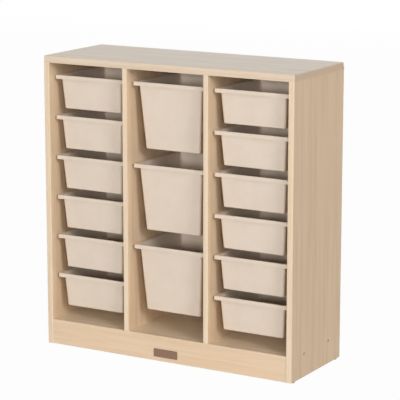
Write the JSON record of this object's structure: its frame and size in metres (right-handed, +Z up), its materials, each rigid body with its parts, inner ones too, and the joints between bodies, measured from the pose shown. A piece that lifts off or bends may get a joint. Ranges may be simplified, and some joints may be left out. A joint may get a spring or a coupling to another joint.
{
  "type": "storage cabinet",
  "caption": "Free-standing wooden cabinet with open columns of shallow and deep moulded trays that hang by their rims on runners and pull out to the front.",
  "frame": {"origin": "on the floor, under the middle of the cabinet", "axes": "+X to the right as seen from the front, +Y to the back, +Z up; the trays pull out along -Y"},
  "size_m": [1, 0.372, 1.06],
  "materials": {
    "pale_wood": "satin lacquer",
    "runner_wood": "satin lacquer",
    "tenon_wood": "raw",
    "back_board": "smooth hardboard",
    "tray_plastic": "fine moulded grain",
    "plate": "matt",
    "glide": "matt"
  },
  "bodies": {
    "cabinet": {"back_panel": "back_board", "bottom_shelf": "pale_wood", "carcass_tenons": "tenon_wood", "floor_glides": "glide", "front_plinth": "pale_wood", "left_divider": "pale_wood", "left_divider_left_runners": "runner_wood", "left_divider_right_runners": "runner_wood", "left_side_panel": "pale_wood", "left_side_runners": "runner_wood", "plinth_plate": "plate", "rear_plinth": "pale_wood", "right_divider": "pale_wood", "right_divider_left_runners": "runner_wood", "right_divider_right_runners": "runner_wood", "right_side_panel": "pale_wood", "right_side_runners": "runner_wood", "top_panel": "pale_wood"},
    "centre_tray_1": {"centre_tray_1": "tray_plastic"},
    "centre_tray_2": {"centre_tray_2": "tray_plastic"},
    "centre_tray_3": {"centre_tray_3": "tray_plastic"},
    "left_tray_1": {"left_tray_1": "tray_plastic"},
    "left_tray_2": {"left_tray_2": "tray_plastic"},
    "left_tray_3": {"left_tray_3": "tray_plastic"},
    "left_tray_4": {"left_tray_4": "tray_plastic"},
    "left_tray_5": {"left_tray_5": "tray_plastic"},
    "left_tray_6": {"left_tray_6": "tray_plastic"},
    "right_tray_1": {"right_tray_1": "tray_plastic"},
    "right_tray_2": {"right_tray_2": "tray_plastic"},
    "right_tray_3": {"right_tray_3": "tray_plastic"},
    "right_tray_4": {"right_tray_4": "tray_plastic"},
    "right_tray_5": {"right_tray_5": "tray_plastic"},
    "right_tray_6": {"right_tray_6": "tray_plastic"}
  },
  "joints": [
    {"name": "centre_tray_1_slide", "type": "slide", "parent": "cabinet", "child": "centre_tray_1", "axis": [0, -1, 0], "range_m": [0, 0.17]},
    {"name": "centre_tray_2_slide", "type": "slide", "parent": "cabinet", "child": "centre_tray_2", "axis": [0, -1, 0], "range_m": [0, 0.17]},
    {"name": "centre_tray_3_slide", "type": "slide", "parent": "cabinet", "child": "centre_tray_3", "axis": [0, -1, 0], "range_m": [0, 0.17]},
    {"name": "left_tray_1_slide", "type": "slide", "parent": "cabinet", "child": "left_tray_1", "axis": [0, -1, 0], "range_m": [0, 0.17]},
    {"name": "left_tray_2_slide", "type": "slide", "parent": "cabinet", "child": "left_tray_2", "axis": [0, -1, 0], "range_m": [0, 0.17]},
    {"name": "left_tray_3_slide", "type": "slide", "parent": "cabinet", "child": "left_tray_3", "axis": [0, -1, 0], "range_m": [0, 0.17]},
    {"name": "left_tray_4_slide", "type": "slide", "parent": "cabinet", "child": "left_tray_4", "axis": [0, -1, 0], "range_m": [0, 0.17]},
    {"name": "left_tray_5_slide", "type": "slide", "parent": "cabinet", "child": "left_tray_5", "axis": [0, -1, 0], "range_m": [0, 0.17]},
    {"name": "left_tray_6_slide", "type": "slide", "parent": "cabinet", "child": "left_tray_6", "axis": [0, -1, 0], "range_m": [0, 0.17]},
    {"name": "right_tray_1_slide", "type": "slide", "parent": "cabinet", "child": "right_tray_1", "axis": [0, -1, 0], "range_m": [0, 0.17]},
    {"name": "right_tray_2_slide", "type": "slide", "parent": "cabinet", "child": "right_tray_2", "axis": [0, -1, 0], "range_m": [0, 0.17]},
    {"name": "right_tray_3_slide", "type": "slide", "parent": "cabinet", "child": "right_tray_3", "axis": [0, -1, 0], "range_m": [0, 0.17]},
    {"name": "right_tray_4_slide", "type": "slide", "parent": "cabinet", "child": "right_tray_4", "axis": [0, -1, 0], "range_m": [0, 0.17]},
    {"name": "right_tray_5_slide", "type": "slide", "parent": "cabinet", "child": "right_tray_5", "axis": [0, -1, 0], "range_m": [0, 0.17]},
    {"name": "right_tray_6_slide", "type": "slide", "parent": "cabinet", "child": "right_tray_6", "axis": [0, -1, 0], "range_m": [0, 0.17]}
  ]
}
